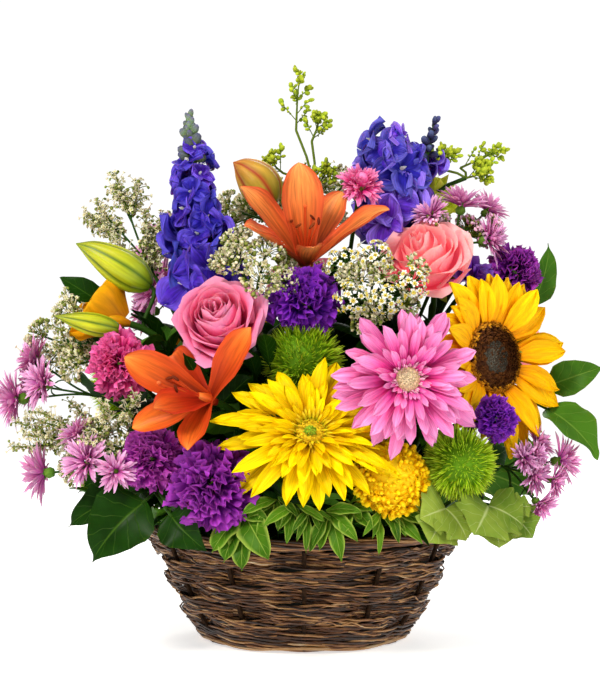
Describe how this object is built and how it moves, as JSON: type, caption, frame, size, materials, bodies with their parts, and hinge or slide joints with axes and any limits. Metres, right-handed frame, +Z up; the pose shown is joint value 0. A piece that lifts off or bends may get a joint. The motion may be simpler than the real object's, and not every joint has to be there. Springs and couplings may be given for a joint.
{
  "type": "flower basket arrangement",
  "caption": "Mixed cut-flower arrangement with sunflower, lilies, roses, gerbera and foliage, set in floral foam inside a lined round willow basket.",
  "frame": {"origin": "middle of the basket's flat underside, on the surface it stands on", "axes": "+Z up, -Y towards the side that the flowers face, +X to the viewer's right"},
  "size_m": [0.4339, 0.3345, 0.429],
  "materials": {
    "willow": "matte",
    "liner_plastic": "satin",
    "wet_foam": "matte",
    "petals_gold": "matte",
    "petals_yellow": "matte",
    "petals_pink": "matte",
    "petals_rose": "matte",
    "petals_coral": "matte",
    "petals_orange": "satin",
    "petals_magenta": "matte",
    "petals_purple": "matte",
    "petals_violet": "matte",
    "petals_mauve": "matte",
    "petals_white": "matte",
    "florets_lime": "matte",
    "leaves_green": "satin",
    "leaves_pale": "satin"
  },
  "bodies": {
    "root": {"aster_back": "petals_mauve", "aster_left": "petals_mauve", "aster_left_low": "petals_mauve", "aster_right_high": "petals_mauve", "aster_right_low": "petals_mauve", "basket_base": "willow", "basket_rim": "willow", "basket_stakes": "willow", "basket_weave_1": "willow", "basket_weave_2": "willow", "basket_weave_3": "willow", "basket_weave_4": "willow", "basket_weave_5": "willow", "carnation_back": "petals_purple", "carnation_magenta": "petals_magenta", "carnation_pink": "petals_magenta", "carnation_purple_low": "petals_purple", "carnation_purple_middle": "petals_purple", "carnation_purple_right": "petals_purple", "carnation_violet_small": "petals_purple", "cornflower_pink": "petals_magenta", "delphinium_left": "petals_violet", "delphinium_right": "petals_violet", "floral_foam": "wet_foam", "foliage_front_left": "leaves_green", "foliage_front_right": "leaves_green", "gerbera_back": "petals_pink", "gerbera_pink": "petals_pink", "green_dianthus_back": "florets_lime", "green_dianthus_middle": "florets_lime", "green_dianthus_right": "florets_lime", "ivy_right": "leaves_pale", "lily_gold_left": "petals_gold", "lily_orange_low": "petals_orange", "lily_orange_top": "petals_orange", "lime_hydrangea": "florets_lime", "liner": "liner_plastic", "lisianthus_violet": "petals_purple", "mum_yellow": "petals_yellow", "rose_back": "petals_coral", "rose_coral": "petals_coral", "rose_pink": "petals_rose", "rose_right": "petals_rose", "salal_back_left": "leaves_green", "salal_back_right": "leaves_green", "salal_left": "leaves_green", "salal_left_high": "leaves_green", "salal_right": "leaves_green", "solidago_right": "florets_lime", "solidago_top": "florets_lime", "spray_mum_back": "petals_yellow", "sunflower": "petals_gold", "sunflower_back": "petals_gold", "white_feverfew": "petals_white", "white_lace": "petals_white", "white_spray_back": "petals_white", "white_spray_left": "petals_white", "white_spray_left_low": "petals_white", "white_sprig_high": "petals_white", "yarrow_yellow": "petals_yellow"}
  },
  "joints": []
}
